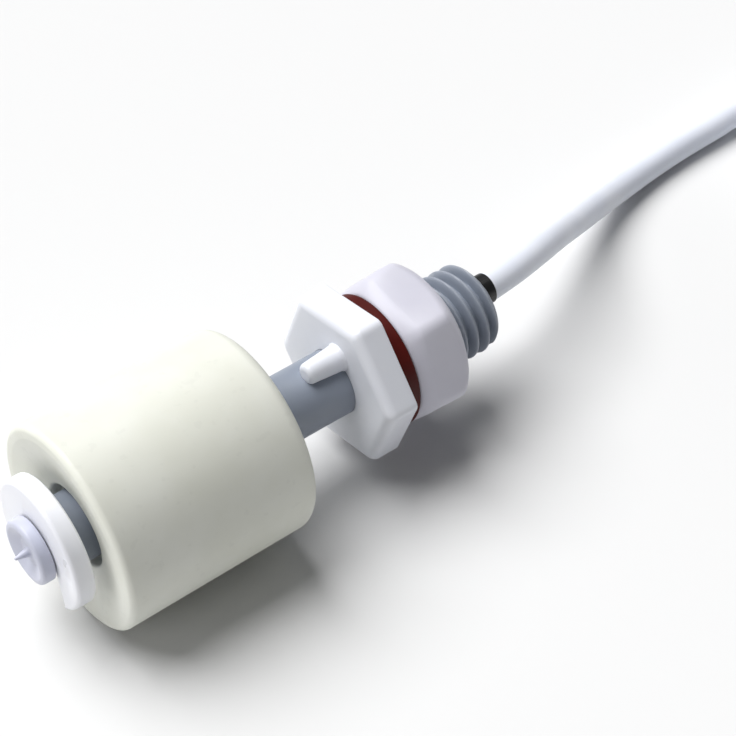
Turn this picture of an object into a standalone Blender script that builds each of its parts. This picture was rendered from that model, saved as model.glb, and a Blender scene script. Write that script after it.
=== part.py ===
"""Vertical float level switch, lying on its side with its axis along X.

A magnet in the float slides along a closed plastic stem and works a reed switch sealed inside it.
The cable end points along +X, the retaining clip end along -X, and the float rests on z = 0.
Profiles are written as (radius, x) pairs in millimetres about the stem's axis.
"""
import math

import bmesh
import bpy
from mathutils import Vector

# ---------------------------------------------------------------- driving dimensions (millimetres)
MM = 0.001
GAP = 0.25                      # clearance between pieces that touch

FLOAT_RADIUS = 11.25
FLOAT_LENGTH = 22.2
FLOAT_END_X = -1.4              # float face on the flange side
FLOAT_BORE_RADIUS = 4.15
FLOAT_MOUTH_RADIUS = 4.75       # counterbore on the clip side
FLOAT_DISH = 1.0                # depth of the dished clip-side face at the counterbore
FLOAT_WALL = 1.3
FLOAT_EDGE = 1.2

STEM_RADIUS = 3.65
BUTTON_RADIUS = 3.5
BUTTON_END_X = -28.3
NUB_TIP_X = -29.25
GROOVE_RADIUS = 2.6

CLIP_RADIUS = 7.05
CLIP_X = (-26.85, -24.75)
CLIP_SLOT = 5.2
CLIP_SLOT_ANGLE = 261.0         # mouth direction, degrees from +Y towards +Z

FLANGE_X = (8.85, 12.45)
FLANGE_FLATS = 16.7
FLANGE_ROLL = 50.0
FLANGE_ROUNDING = 1.1           # on the float side; corners and gasket side are crisper
RIB_LENGTH = 4.3
RIB_DISTANCE = 4.25             # rib axis from the stem's axis
RIB_RADII = (1.1, 1.45)         # at the tip and at the root
RIB_ANGLES = (101.0, 281.0)

GASKET_RADIUS = 7.7
GASKET_THICKNESS = 1.5

THREAD_RADIUS = 5.0             # M10 x 1.5
THREAD_ROOT = 4.1
THREAD_PITCH = 1.5
THREAD_END_X = 27.6
THREAD_SIDES = 24
THREAD_CLEARANCE = 0.2
THREAD_RUN_OUT = 0.8

NUT_FLATS = 15.7
NUT_THICKNESS = 6.4
NUT_ROLL = 68.0
NUT_FACE_RADIUS = 7.5
NUT_CHAMFER = 1.35              # length of the end chamfers at the corners
NUT_CORNER = 0.5
NUT_MOUTH_RADIUS = 5.5          # countersinks at both ends of the thread
NUT_MOUTH_DEPTH = 1.4

BORE_RADIUS = 2.2               # blind bore for the reed switch
BORE_END_X = -22.8
MOUTH_RADIUS = 2.5              # wider end of the bore, filled by the potting
MOUTH_X = 16.0

REED_LIFT = 0.7                 # reed switch axis above the stem's axis
LEAD_RADIUS = 0.22
GLASS_X = (-17.0, -5.0)
BLADE_WIDTH = 0.8
BLADE_THICKNESS = 0.18
BLADE_OFFSET = 0.22
FAR_LEAD_X = (-19.0, -15.2)
FAR_BLADE_X = (-15.7, -10.2)
NEAR_LEAD_X = (-6.8, 0.3)
NEAR_BLADE_X = (-11.8, -6.3)
FAR_SLEEVE_X = (-20.4, -17.6)   # sleeves over the soldered joints
NEAR_SLEEVE_X = (-1.6, 3.6)

CORE_RADIUS = 0.48
CORE_SPACING = 0.95              # each core from the middle of the potting
CORE_HOLE_RADIUS = 0.72
PLUG_X = (17.6, 24.2)
TINNED_RADIUS = 0.3
TINNED_LENGTH = 4.0
CABLE_RADIUS = 1.7
EXIT_RADIUS = 1.7
EXIT_X = (26.2, 30.15)
EXIT_OFFSET = (0.47, 0.37)      # the cable sits off centre in its potting: +Y and +Z

COIL_CENTRE = (98.0, -5.5)
COIL_RADII = (13.95, 20.75)
COIL_Z = (0.8, 4.2)
TIE_THICKNESS = 0.5
TIE_WIDTH = 2.5

AXIS_Z = FLOAT_RADIUS
CENTRE_X = (NUB_TIP_X + EXIT_X[1]) / 2      # moved to x = 0, so the origin is below the middle
FLOAT_START_X = FLOAT_END_X - FLOAT_LENGTH
MAGNET_X = (FLOAT_START_X + 8.2, FLOAT_START_X + 14.2)
GASKET_X = (FLANGE_X[1] + GAP, FLANGE_X[1] + GAP + GASKET_THICKNESS)
NUT_X = (GASKET_X[1] + GAP, GASKET_X[1] + GAP + NUT_THICKNESS)
THREAD_START_X = FLANGE_X[1] + GAP

# The cable's route from the exit to the coil, axis points (x, y, z) with z above the surface.
CABLE_ROUTE = (
    (30.5, 0.55, 11.75), (34.0, 1.0, 11.8), (38.5, 2.15, 11.15), (43.5, 4.15, 9.5),
    (49.0, 6.7, 6.9), (55.0, 9.35, 4.3), (61.0, 11.4, 2.55), (67.0, 12.65, 1.85),
    (73.0, 13.25, 1.75), (80.0, 13.45, 1.85), (85.9, 13.5, 2.35),
)
# Inner routes are about the stem's axis: (x, y, z) with z above the axis.
NEAR_CORE_ROUTE = (
    (30.1, 1.05, 0.37), (28.0, 1.05, 0.37), (26.2, 1.04, 0.35), (24.4, 0.96, 0.02), (22.0, 0.95, 0.0),
    (18.0, 0.95, 0.0),
    (14.5, 0.9, 0.1), (11.0, 0.6, 0.4), (7.5, 0.15, 0.68), (5.0, 0.0, 0.7), (0.9, 0.0, 0.7),
)
FAR_CORE_ROUTE = (
    (30.1, -0.11, 0.37), (28.0, -0.11, 0.37), (26.2, -0.14, 0.35), (24.4, -0.9, 0.02), (22.0, -0.95, 0.0),
    (18.0, -0.95, 0.0),
    (14.5, -0.85, -0.2), (11.0, -0.5, -0.75), (7.5, -0.1, -1.15), (4.0, 0.0, -1.2),
    (-8.0, 0.0, -1.2), (-20.6, 0.0, -1.2),
)
FAR_CORE_END_X = -19.3
# The stripped cores inside the coil: (radius, degrees, z) about the coil's centre.
RED_END_ROUTE = ((13.3, 44.0, 2.4), (12.5, 33.0, 1.6), (11.2, 15.0, 0.8), (9.6, -8.0, 0.6),
                 (8.0, -36.0, 0.6), (7.2, -66.0, 0.6))
BLACK_END_ROUTE = ((12.0, 45.0, 2.4), (10.6, 32.0, 1.6), (8.6, 10.0, 0.8), (6.3, -20.0, 0.6),
                   (4.6, -62.0, 0.6), (4.4, -105.0, 0.6))


# ---------------------------------------------------------------- scene helpers
def clear_scene():
    for obj in list(bpy.data.objects):
        bpy.data.objects.remove(obj, do_unlink=True)


def new_collection(name):
    collection = bpy.data.collections.new(name)
    bpy.context.scene.collection.children.link(collection)
    return collection


clear_scene()
PARTS = new_collection("float_level_switch")
CUTTERS = new_collection("cutters")


def material(name, colour, roughness, metallic=0.0):
    mat = bpy.data.materials.get(name)
    if mat is None:
        mat = bpy.data.materials.new(name)
        mat.use_nodes = True
        shader = mat.node_tree.nodes["Principled BSDF"]
        shader.inputs["Base Color"].default_value = (*colour, 1.0)
        shader.inputs["Roughness"].default_value = roughness
        shader.inputs["Metallic"].default_value = metallic
    return mat


GREY_PLASTIC = material("stem_grey", (0.17, 0.20, 0.25), 0.42)
WHITE_PLASTIC = material("white_plastic", (0.82, 0.83, 0.87), 0.38)
LILAC_PLASTIC = material("nut_lilac", (0.66, 0.66, 0.74), 0.40)
CREAM_PLASTIC = material("float_cream", (0.78, 0.78, 0.70), 0.55)
RED_SILICONE = material("gasket_red", (0.25, 0.03, 0.015), 0.50)
BLACK_SLEEVE = material("sleeve_black", (0.012, 0.012, 0.014), 0.45)
JACKET_WHITE = material("cable_white", (0.80, 0.81, 0.84), 0.45)
CORE_RED = material("core_red", (0.50, 0.03, 0.03), 0.45)
CORE_BLACK = material("core_black", (0.02, 0.02, 0.02), 0.45)
TINNED = material("tinned_copper", (0.72, 0.71, 0.68), 0.30, 1.0)
REED_METAL = material("reed_metal", (0.70, 0.66, 0.58), 0.28, 1.0)
GLASS_GREEN = material("reed_glass", (0.45, 0.62, 0.50), 0.05)
FERRITE = material("ferrite", (0.06, 0.06, 0.065), 0.60)
POTTING = material("potting_dark", (0.04, 0.035, 0.03), 0.50)


def add_object(name, data, mat=None, cutter=False):
    obj = bpy.data.objects.new(name, data)
    (CUTTERS if cutter else PARTS).objects.link(obj)
    if cutter:
        obj.hide_render = True
        obj.display_type = "WIRE"
    if mat is not None:
        data.materials.append(mat)
    return obj


def mesh_from_bmesh(name, bm):
    bmesh.ops.recalc_face_normals(bm, faces=bm.faces)
    mesh = bpy.data.meshes.new(name)
    bm.to_mesh(mesh)
    bm.free()
    return mesh


def lay_on_axis(obj, roll=0.0, offset=(0.0, 0.0)):
    """Turn local Z into world X, on the stem's axis; roll is from +Y towards +Z, in degrees."""
    obj.rotation_mode = "ZYX"
    obj.rotation_euler = (0.0, math.radians(90.0), math.radians(roll))
    obj.location = (0.0, offset[0] * MM, (AXIS_Z + offset[1]) * MM)
    return obj


def shade_smooth(obj, angle=35.0):
    obj.data.shade_smooth()
    obj.data.set_sharp_from_angle(angle=math.radians(angle))


def boolean(obj, other, operation="DIFFERENCE"):
    mod = obj.modifiers.new(operation.lower() + "_" + other.name, "BOOLEAN")
    mod.operation = operation
    mod.solver = "EXACT"
    mod.object = other


def bevel(obj, width, segments=2, angle=30.0):
    mod = obj.modifiers.new("round_edges", "BEVEL")
    mod.width = width * MM
    mod.segments = segments
    mod.limit_method = "ANGLE"
    mod.angle_limit = math.radians(angle)


# ---------------------------------------------------------------- shape helpers
def turned(name, profile, mat=None, steps=32, ring=False, cutter=False):
    """A turned piece: the profile runs from the +X end down the outer side to the -X end."""
    mesh = bpy.data.meshes.new(name)
    points = [(radius * MM, 0.0, x * MM) for radius, x in profile]
    edges = [(i, i + 1) for i in range(len(points) - 1)]
    if ring:
        edges.append((len(points) - 1, 0))
    mesh.from_pydata(points, edges, [])
    obj = add_object(name, mesh, mat, cutter)
    screw = obj.modifiers.new("turn", "SCREW")
    screw.axis = "Z"
    screw.angle = math.tau
    screw.steps = steps
    screw.render_steps = steps
    screw.use_merge_vertices = True
    screw.merge_threshold = 0.000001
    screw.use_smooth_shade = True
    return lay_on_axis(obj)


def rounded(radius, x, edge, start, end, parts=3):
    """Points of a quarter-round edge whose sharp corner would be at (radius, x).

    start and end are angles in degrees, measured from outwards towards +X.
    """
    centre_r = radius - edge
    centre_x = x - edge if start > end and start > 0 else x + edge
    points = []
    for i in range(parts + 1):
        angle = math.radians(start + (end - start) * i / parts)
        points.append((centre_r + edge * math.cos(angle), centre_x + edge * math.sin(angle)))
    return points


def hexagon(name, flats, x_range, mat, roll):
    bm = bmesh.new()
    bmesh.ops.create_cone(bm, cap_ends=True, segments=6, radius1=flats / math.sqrt(3) * MM,
                          radius2=flats / math.sqrt(3) * MM, depth=(x_range[1] - x_range[0]) * MM)
    bmesh.ops.translate(bm, verts=bm.verts, vec=(0.0, 0.0, sum(x_range) / 2 * MM))
    return lay_on_axis(add_object(name, mesh_from_bmesh(name, bm), mat), roll)


def rod(name, radius, x_range, mat=None, offset=(0.0, 0.0), sides=16, cutter=False, tip=None):
    """A cylinder along X; tip is a second radius for the -X end."""
    bm = bmesh.new()
    bmesh.ops.create_cone(bm, cap_ends=True, segments=sides, radius1=(tip or radius) * MM,
                          radius2=radius * MM, depth=(x_range[1] - x_range[0]) * MM)
    bmesh.ops.translate(bm, verts=bm.verts, vec=(0.0, 0.0, sum(x_range) / 2 * MM))
    obj = add_object(name, mesh_from_bmesh(name, bm), mat, cutter)
    shade_smooth(obj)
    return lay_on_axis(obj, 0.0, offset)


def block(name, low, high, mat=None, cutter=False):
    """A box between two corners, in world millimetres."""
    bm = bmesh.new()
    bmesh.ops.create_cube(bm, size=1.0)
    size = [(b - a) * MM for a, b in zip(low, high)]
    bmesh.ops.scale(bm, verts=bm.verts, vec=size)
    obj = add_object(name, mesh_from_bmesh(name, bm), mat, cutter)
    obj.location = [(a + b) / 2 * MM for a, b in zip(low, high)]
    return obj


def smooth_route(points, count):
    """Evenly numbered points on a Catmull-Rom curve through the route's own points."""
    route = [Vector(p) for p in points]
    ends = [2 * route[0] - route[1]] + route + [2 * route[-1] - route[-2]]
    spans = len(route) - 1
    result = []
    for i in range(count):
        t = i * spans / (count - 1)
        k = min(int(t), spans - 1)
        t -= k
        p0, p1, p2, p3 = ends[k:k + 4]
        result.append(0.5 * (2 * p1 + (p2 - p0) * t + (2 * p0 - 5 * p1 + 4 * p2 - p3) * t ** 2
                             + (3 * p1 - p0 - 3 * p2 + p3) * t ** 3))
    return result


def wire(name, points, radius, mat, resolution=2):
    """A round wire on a poly line of world points in millimetres."""
    curve = bpy.data.curves.new(name, "CURVE")
    curve.dimensions = "3D"
    curve.bevel_depth = radius * MM
    curve.bevel_resolution = resolution
    curve.use_fill_caps = True
    spline = curve.splines.new("POLY")
    spline.points.add(len(points) - 1)
    for target, point in zip(spline.points, points):
        target.co = (*(Vector(point) * MM), 1.0)
    return add_object(name, curve, mat)


def lifted(points):
    """Stem-centred points moved up to world height."""
    return [Vector(p) + Vector((0.0, 0.0, AXIS_Z)) for p in points]


def thread_rod(name, x_range, root, crest, mat=None, run_out=0.0, cutter=False):
    """A solid rod with a right-hand external thread, flat at both ends.

    Stations across one pitch (fraction, height) are wound on a helix; every rod made here shares
    one phase, so a nut cut with a larger rod meshes with the stem.
    """
    stations = ((0.0, 0.0), (0.16, 0.0), (0.48, 0.86), (0.58, 1.0), (0.68, 0.86))
    low, high = x_range
    turn_first = math.floor((low - THREAD_START_X) / THREAD_PITCH) - 2
    turn_last = math.ceil((high - THREAD_START_X) / THREAD_PITCH) + 2
    count = (turn_last - turn_first) * len(stations) + 1
    bm = bmesh.new()
    grid = []
    for i in range(THREAD_SIDES):
        angle = math.tau * i / THREAD_SIDES
        column = []
        for j in range(count):
            fraction, height = stations[j % len(stations)]
            turn = turn_first + j // len(stations) + fraction + i / THREAD_SIDES
            x = THREAD_START_X + THREAD_PITCH * turn
            inside = low < x < high
            x = min(max(x, low), high)
            fade = min(1.0, (high - x) / run_out, (x - low) / run_out) if run_out else 1.0
            radius = root + (crest - root) * height * fade if inside else root
            column.append(bm.verts.new((radius * math.sin(angle) * MM,
                                        -radius * math.cos(angle) * MM, x * MM)))
        grid.append(column)
    per_turn = len(stations)
    for i in range(THREAD_SIDES):
        wrap = i == THREAD_SIDES - 1
        after = grid[0] if wrap else grid[i + 1]
        shift = per_turn if wrap else 0
        for j in range(count - 1 - shift):
            bm.faces.new((grid[i][j], after[j + shift], after[j + 1 + shift], grid[i][j + 1]))
    bmesh.ops.remove_doubles(bm, verts=bm.verts, dist=0.0000005)
    bmesh.ops.holes_fill(bm, edges=[e for e in bm.edges if e.is_boundary], sides=0)
    return lay_on_axis(add_object(name, mesh_from_bmesh(name, bm), mat, cutter))


# ---------------------------------------------------------------- stem
def make_stem():
    """Grey stem: end button, clip groove, smooth guide, thread and a blind bore for the switch."""
    x0, x1 = CLIP_X[0] - GAP, CLIP_X[1] + GAP
    profile = [(0.0, THREAD_START_X + 0.6), (STEM_RADIUS, THREAD_START_X + 0.6),
               (STEM_RADIUS, x1 + 0.25), (STEM_RADIUS - 0.3, x1), (GROOVE_RADIUS, x1),
               (GROOVE_RADIUS, x0), (BUTTON_RADIUS, x0)]
    profile += rounded(BUTTON_RADIUS, BUTTON_END_X, 0.55, 0.0, -90.0)
    profile += [(2.2, BUTTON_END_X + 0.35), (0.55, BUTTON_END_X + 0.45), (0.0, NUB_TIP_X)]
    stem = turned("stem_body", profile, GREY_PLASTIC)
    thread = thread_rod("thread", (THREAD_START_X, THREAD_END_X), THREAD_ROOT, THREAD_RADIUS,
                        run_out=THREAD_RUN_OUT, cutter=True)
    boolean(stem, thread, "UNION")
    bore = turned("stem_bore", [(0.0, THREAD_END_X + 1.0), (MOUTH_RADIUS, THREAD_END_X + 1.0),
                                (MOUTH_RADIUS, MOUTH_X), (BORE_RADIUS, MOUTH_X - 0.4),
                                (BORE_RADIUS, BORE_END_X + 0.6), (BORE_RADIUS - 0.6, BORE_END_X),
                                (0.0, BORE_END_X)], steps=24, cutter=True)
    boolean(stem, bore)
    return stem


def make_flange():
    """White hexagonal shoulder with two tapered stop ribs facing the float."""
    flange = hexagon("hex_flange", FLANGE_FLATS, FLANGE_X, WHITE_PLASTIC, FLANGE_ROLL)
    weights = flange.data.attributes.new("bevel_weight_edge", "FLOAT", "EDGE")
    for edge in flange.data.edges:
        ends = [flange.data.vertices[i].co.z / MM for i in edge.vertices]
        on_float_side = max(ends) < FLANGE_X[0] + 0.1
        on_gasket_side = min(ends) > FLANGE_X[1] - 0.1
        weights.data[edge.index].value = 1.0 if on_float_side else 0.25 if on_gasket_side else 0.6
    bevel(flange, FLANGE_ROUNDING, 3)
    flange.modifiers["round_edges"].limit_method = "WEIGHT"
    for number, angle in enumerate(RIB_ANGLES, 1):
        direction = math.radians(angle)
        place = (RIB_DISTANCE * math.cos(direction), RIB_DISTANCE * math.sin(direction))
        rib = rod("rib_%d" % number, RIB_RADII[1], (FLANGE_X[0] - RIB_LENGTH, FLANGE_X[0] + 1.0),
                  offset=place, sides=16, cutter=True, tip=RIB_RADII[0])
        bevel(rib, 0.45, 2)
        boolean(flange, rib, "UNION")
    bore = rod("flange_bore", STEM_RADIUS + GAP, (FLANGE_X[0] - 6.0, FLANGE_X[1] + 1.0),
               sides=32, cutter=True)
    boolean(flange, bore)


def make_gasket():
    """Red ring that the nut squeezes against the tank wall or the flange."""
    low, high = GASKET_X
    inner = THREAD_RADIUS + GAP
    turned("gasket", [(inner, high), (GASKET_RADIUS - 0.25, high), (GASKET_RADIUS, high - 0.25),
                      (GASKET_RADIUS, low + 0.25), (GASKET_RADIUS - 0.25, low), (inner, low)],
           RED_SILICONE, steps=40, ring=True)


def make_nut():
    """Hexagonal nut, chamfered at both ends, with its own internal thread."""
    low, high = NUT_X
    nut = hexagon("hex_nut", NUT_FLATS, NUT_X, LILAC_PLASTIC, NUT_ROLL)
    bevel(nut, NUT_CORNER, 2)
    face = NUT_FACE_RADIUS
    corner = NUT_FLATS / math.sqrt(3)
    barrel = turned("nut_barrel", [(0.0, high + 0.5), (face - 0.6, high + 0.5), (face, high),
                                   (corner, high - NUT_CHAMFER), (corner, low + NUT_CHAMFER),
                                   (face, low), (face - 0.6, low - 0.5), (0.0, low - 0.5)],
                    steps=48, cutter=True)
    boolean(nut, barrel, "INTERSECT")
    inner = thread_rod("nut_thread", (low - 1.0, high + 1.0), THREAD_ROOT + THREAD_CLEARANCE,
                       THREAD_RADIUS + THREAD_CLEARANCE, cutter=True)
    boolean(nut, inner)
    wide, narrow = NUT_MOUTH_RADIUS + 0.5, NUT_MOUTH_RADIUS - NUT_MOUTH_DEPTH
    cable_side = turned("nut_mouth_1", [(0.0, high + 0.5), (wide, high + 0.5),
                                        (narrow, high - NUT_MOUTH_DEPTH),
                                        (0.0, high - NUT_MOUTH_DEPTH)], steps=48, cutter=True)
    boolean(nut, cable_side)
    gasket_side = turned("nut_mouth_2", [(0.0, low + NUT_MOUTH_DEPTH),
                                         (narrow, low + NUT_MOUTH_DEPTH), (wide, low - 0.5),
                                         (0.0, low - 0.5)], steps=48, cutter=True)
    boolean(nut, gasket_side)


def make_clip():
    """White C-shaped retaining clip snapped into the groove, its mouth facing down."""
    low, high = CLIP_X
    inner = GROOVE_RADIUS + GAP
    profile = [(inner, high)] + rounded(CLIP_RADIUS, high, 0.4, 90.0, 0.0, 2)
    profile += rounded(CLIP_RADIUS, low, 0.5, 0.0, -90.0, 3) + [(inner, low)]
    clip = turned("retaining_clip", profile, WHITE_PLASTIC, steps=40, ring=True)
    slot = block("clip_slot", (low - 1.0, -CLIP_SLOT / 2, -CLIP_RADIUS - 1.0),
                 (high + 1.0, CLIP_SLOT / 2, 0.0), cutter=True)
    pivot = bpy.data.objects.new("clip_mouth", None)
    PARTS.objects.link(pivot)
    pivot.location = (0.0, 0.0, AXIS_Z * MM)
    pivot.rotation_euler = (math.radians(CLIP_SLOT_ANGLE - 270.0), 0.0, 0.0)
    slot.parent = pivot
    boolean(clip, slot)


# ---------------------------------------------------------------- float
def make_float_shell():
    """Float cup: outer wall, clip-side face and guide tube, open towards the flange."""
    start, end = FLOAT_START_X, FLOAT_END_X
    wall = FLOAT_RADIUS - FLOAT_WALL
    seat = wall - 0.65
    seat_x = end - 1.5 - GAP
    tube = FLOAT_BORE_RADIUS + 1.0
    step_x = MAGNET_X[0] - GAP
    profile = [(wall, end - 0.25)]
    profile += rounded(FLOAT_RADIUS, end, FLOAT_EDGE, 90.0, 0.0)
    profile += rounded(FLOAT_RADIUS, start, FLOAT_EDGE, 0.0, -90.0)
    mouth = start + FLOAT_DISH
    profile += [(FLOAT_MOUTH_RADIUS + 0.3, mouth), (FLOAT_MOUTH_RADIUS, mouth + 0.3),
                (FLOAT_MOUTH_RADIUS, mouth + 1.2), (FLOAT_BORE_RADIUS, mouth + 1.8),
                (FLOAT_BORE_RADIUS, seat_x), (tube, seat_x), (tube, step_x), (tube + 1.6, step_x),
                (tube + 1.6, mouth + FLOAT_WALL), (seat, start + FLOAT_WALL + 0.1), (seat, seat_x),
                (wall, seat_x)]
    turned("float_shell", profile, CREAM_PLASTIC, steps=48, ring=True)


def make_float_lid():
    """Welded lid on the flange side, with the boss that holds the magnet down."""
    end = FLOAT_END_X
    outer = FLOAT_RADIUS - FLOAT_WALL - GAP
    boss_low = MAGNET_X[1] + GAP
    boss_inner = FLOAT_BORE_RADIUS + 1.0 + GAP
    turned("float_lid", [(FLOAT_BORE_RADIUS, end), (outer, end), (outer, end - 1.5),
                         (boss_inner + 1.2, end - 1.5), (boss_inner + 1.2, boss_low),
                         (boss_inner, boss_low), (boss_inner, end - 1.5),
                         (FLOAT_BORE_RADIUS, end - 1.5)], CREAM_PLASTIC, steps=48, ring=True)


def make_magnet():
    """Ferrite ring magnet round the guide tube."""
    low, high = MAGNET_X
    inner = FLOAT_BORE_RADIUS + 1.0 + GAP
    turned("float_magnet", [(inner, high), (inner + 2.8, high), (inner + 2.8, low), (inner, low)],
           FERRITE, steps=32, ring=True)


# ---------------------------------------------------------------- reed switch and leads
def make_glass():
    low, high = GLASS_X
    glass = turned("reed_glass", [(0.35, high), (0.75, high), (1.0, high - 0.4), (1.0, low + 0.4),
                                  (0.75, low), (0.35, low), (0.35, low + 0.5), (0.8, low + 0.9),
                                  (0.8, high - 0.9), (0.35, high - 0.5)],
                   GLASS_GREEN, steps=20, ring=True)
    lay_on_axis(glass, 0.0, (0.0, REED_LIFT))


def make_blade(name, lead_x, blade_x, side):
    """A reed: round lead outside the glass, flattened into a blade inside it."""
    blade = rod(name, LEAD_RADIUS, lead_x, REED_METAL, (0.0, REED_LIFT), sides=8)
    middle = AXIS_Z + REED_LIFT + side * BLADE_OFFSET
    flat = block(name + "_flat", (blade_x[0], -BLADE_WIDTH / 2, middle - BLADE_THICKNESS / 2),
                 (blade_x[1], BLADE_WIDTH / 2, middle + BLADE_THICKNESS / 2), cutter=True)
    boolean(blade, flat, "UNION")


def make_joint_sleeve(name, x_range):
    """Heat-shrink sleeve over a soldered joint."""
    low, high = x_range
    sleeve = turned(name, [(0.7, high), (0.9, high), (0.9, low), (0.7, low)], BLACK_SLEEVE,
                    steps=16, ring=True)
    lay_on_axis(sleeve, 0.0, (0.0, REED_LIFT))


def make_cores():
    """Two insulated cores from the cable: one to the near lead, one doubled back to the far lead."""
    near = smooth_route(NEAR_CORE_ROUTE, 26)
    wire("core_near", lifted(near), CORE_RADIUS, CORE_RED)
    last = FAR_CORE_ROUTE[-1]
    bend = (REED_LIFT - last[2]) / 2
    turn = [(last[0] - bend * math.sin(math.pi * i / 8), 0.0,
             last[2] + bend - bend * math.cos(math.pi * i / 8)) for i in range(1, 9)]
    far = smooth_route(FAR_CORE_ROUTE, 28) + turn + [(FAR_CORE_END_X, 0.0, REED_LIFT)]
    wire("core_far", lifted(far), CORE_RADIUS, CORE_BLACK)


def make_potting():
    """Potting plug in the bore's mouth, with the two cores passing through it."""
    plug = rod("potting_plug", MOUTH_RADIUS - GAP, PLUG_X, POTTING, sides=24)
    for side in (-1, 1):
        hole = rod("plug_hole_%s" % ("far" if side < 0 else "near"), CORE_HOLE_RADIUS,
                   (PLUG_X[0] - 1.0, PLUG_X[1] + 1.0), offset=(side * CORE_SPACING, 0.0),
                   sides=12, cutter=True)
        boolean(plug, hole)


def make_exit_sleeve():
    """Black sleeve that grips the cable where it leaves the stem."""
    low, high = EXIT_X
    sleeve = turned("exit_sleeve", [(1.28, high), (EXIT_RADIUS - 0.12, high),
                                    (EXIT_RADIUS, high - 0.12), (EXIT_RADIUS, low), (1.28, low)],
                    BLACK_SLEEVE, steps=24, ring=True)
    lay_on_axis(sleeve, 0.0, EXIT_OFFSET)


# ---------------------------------------------------------------- cable
def make_cable():
    wire("cable", smooth_route(CABLE_ROUTE, 16), CABLE_RADIUS, JACKET_WHITE)


def on_coil(radius, degrees, z):
    """A point of the coil's plan, by radius and by angle from +X towards +Y."""
    angle = math.radians(degrees)
    return (COIL_CENTRE[0] + radius * math.cos(angle), COIL_CENTRE[1] + radius * math.sin(angle), z)


def make_coil():
    inner, outer = COIL_RADII
    low, high = COIL_Z
    coil = turned("cable_coil", [(inner, high - 0.6), (inner + 0.6, high), (outer - 0.6, high),
                                 (outer, high - 0.6), (outer, low + 0.6), (outer - 0.6, low),
                                 (inner + 0.6, low), (inner, low + 0.6)],
                  JACKET_WHITE, steps=40, ring=True)
    coil.rotation_euler = (0.0, 0.0, 0.0)
    coil.location = (COIL_CENTRE[0] * MM, COIL_CENTRE[1] * MM, 0.0)


def make_tie():
    """Tie round the coil's turns, on the side next to the switch."""
    inner, outer = COIL_RADII[0] - GAP, COIL_RADII[1] + GAP
    x_out, x_in = COIL_CENTRE[0] - outer, COIL_CENTRE[0] - inner
    y = COIL_CENTRE[1]
    top = COIL_Z[1] + GAP
    bottom = COIL_Z[0] - GAP
    tie = block("coil_tie", (x_out - TIE_THICKNESS, y - TIE_WIDTH / 2, bottom - TIE_THICKNESS),
                (x_in + TIE_THICKNESS, y + TIE_WIDTH / 2, top + TIE_THICKNESS), BLACK_SLEEVE)
    bevel(tie, 0.35, 2)
    hole = block("tie_hole", (x_out, y - 3.0, bottom), (x_in, y + 3.0, top), cutter=True)
    boolean(tie, hole)


def centre_on_origin():
    """Parent everything to one empty that puts the middle of the switch over x = 0."""
    middle = bpy.data.objects.new("switch_middle", None)
    PARTS.objects.link(middle)
    middle.location = (-CENTRE_X * MM, 0.0, 0.0)
    for obj in list(PARTS.objects) + list(CUTTERS.objects):
        if obj.parent is None and obj is not middle:
            obj.parent = middle


def make_bare_ends():
    """The stripped end: two insulated cores with tinned tips, lying inside the coil."""
    for name, colour, route in (("red", CORE_RED, RED_END_ROUTE), ("black", CORE_BLACK, BLACK_END_ROUTE)):
        points = smooth_route([on_coil(*place) for place in route], 16)
        wire("core_end_" + name, points, CORE_RADIUS, colour)
        along = (points[-1] - points[-2]).normalized()
        tip = [points[-1] + along * GAP, points[-1] + along * (GAP + TINNED_LENGTH)]
        wire("tinned_end_" + name, tip, TINNED_RADIUS, TINNED)


make_stem()
make_flange()
make_gasket()
make_nut()
make_clip()
make_float_shell()
make_float_lid()
make_magnet()
make_glass()
make_blade("reed_blade_far", FAR_LEAD_X, FAR_BLADE_X, 1)
make_blade("reed_blade_near", NEAR_LEAD_X, NEAR_BLADE_X, -1)
make_joint_sleeve("joint_sleeve_far", FAR_SLEEVE_X)
make_joint_sleeve("joint_sleeve_near", NEAR_SLEEVE_X)
make_cores()
make_potting()
make_exit_sleeve()
make_cable()
make_coil()
make_tie()
make_bare_ends()
centre_on_origin()
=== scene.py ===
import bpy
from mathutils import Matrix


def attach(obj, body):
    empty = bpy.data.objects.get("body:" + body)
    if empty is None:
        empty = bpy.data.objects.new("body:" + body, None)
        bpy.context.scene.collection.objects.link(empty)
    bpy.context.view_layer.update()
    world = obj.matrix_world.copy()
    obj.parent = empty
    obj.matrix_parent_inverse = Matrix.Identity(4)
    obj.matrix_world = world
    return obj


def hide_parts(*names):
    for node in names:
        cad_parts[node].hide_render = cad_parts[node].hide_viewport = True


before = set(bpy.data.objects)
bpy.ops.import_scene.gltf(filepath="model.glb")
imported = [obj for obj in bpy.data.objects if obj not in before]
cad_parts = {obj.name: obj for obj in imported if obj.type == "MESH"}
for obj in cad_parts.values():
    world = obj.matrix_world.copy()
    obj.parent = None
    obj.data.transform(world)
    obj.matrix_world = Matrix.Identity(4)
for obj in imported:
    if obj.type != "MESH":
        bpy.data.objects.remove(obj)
"""Looks of a plastic float level switch lying on its side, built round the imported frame.

Lengths are in millimetres. x runs along the stem as in the part's own drawing, y is to the side and
z is above the surface; angles about the stem go from +y towards +z.
"""
import math

import bmesh
import bpy
from mathutils import Vector

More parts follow.
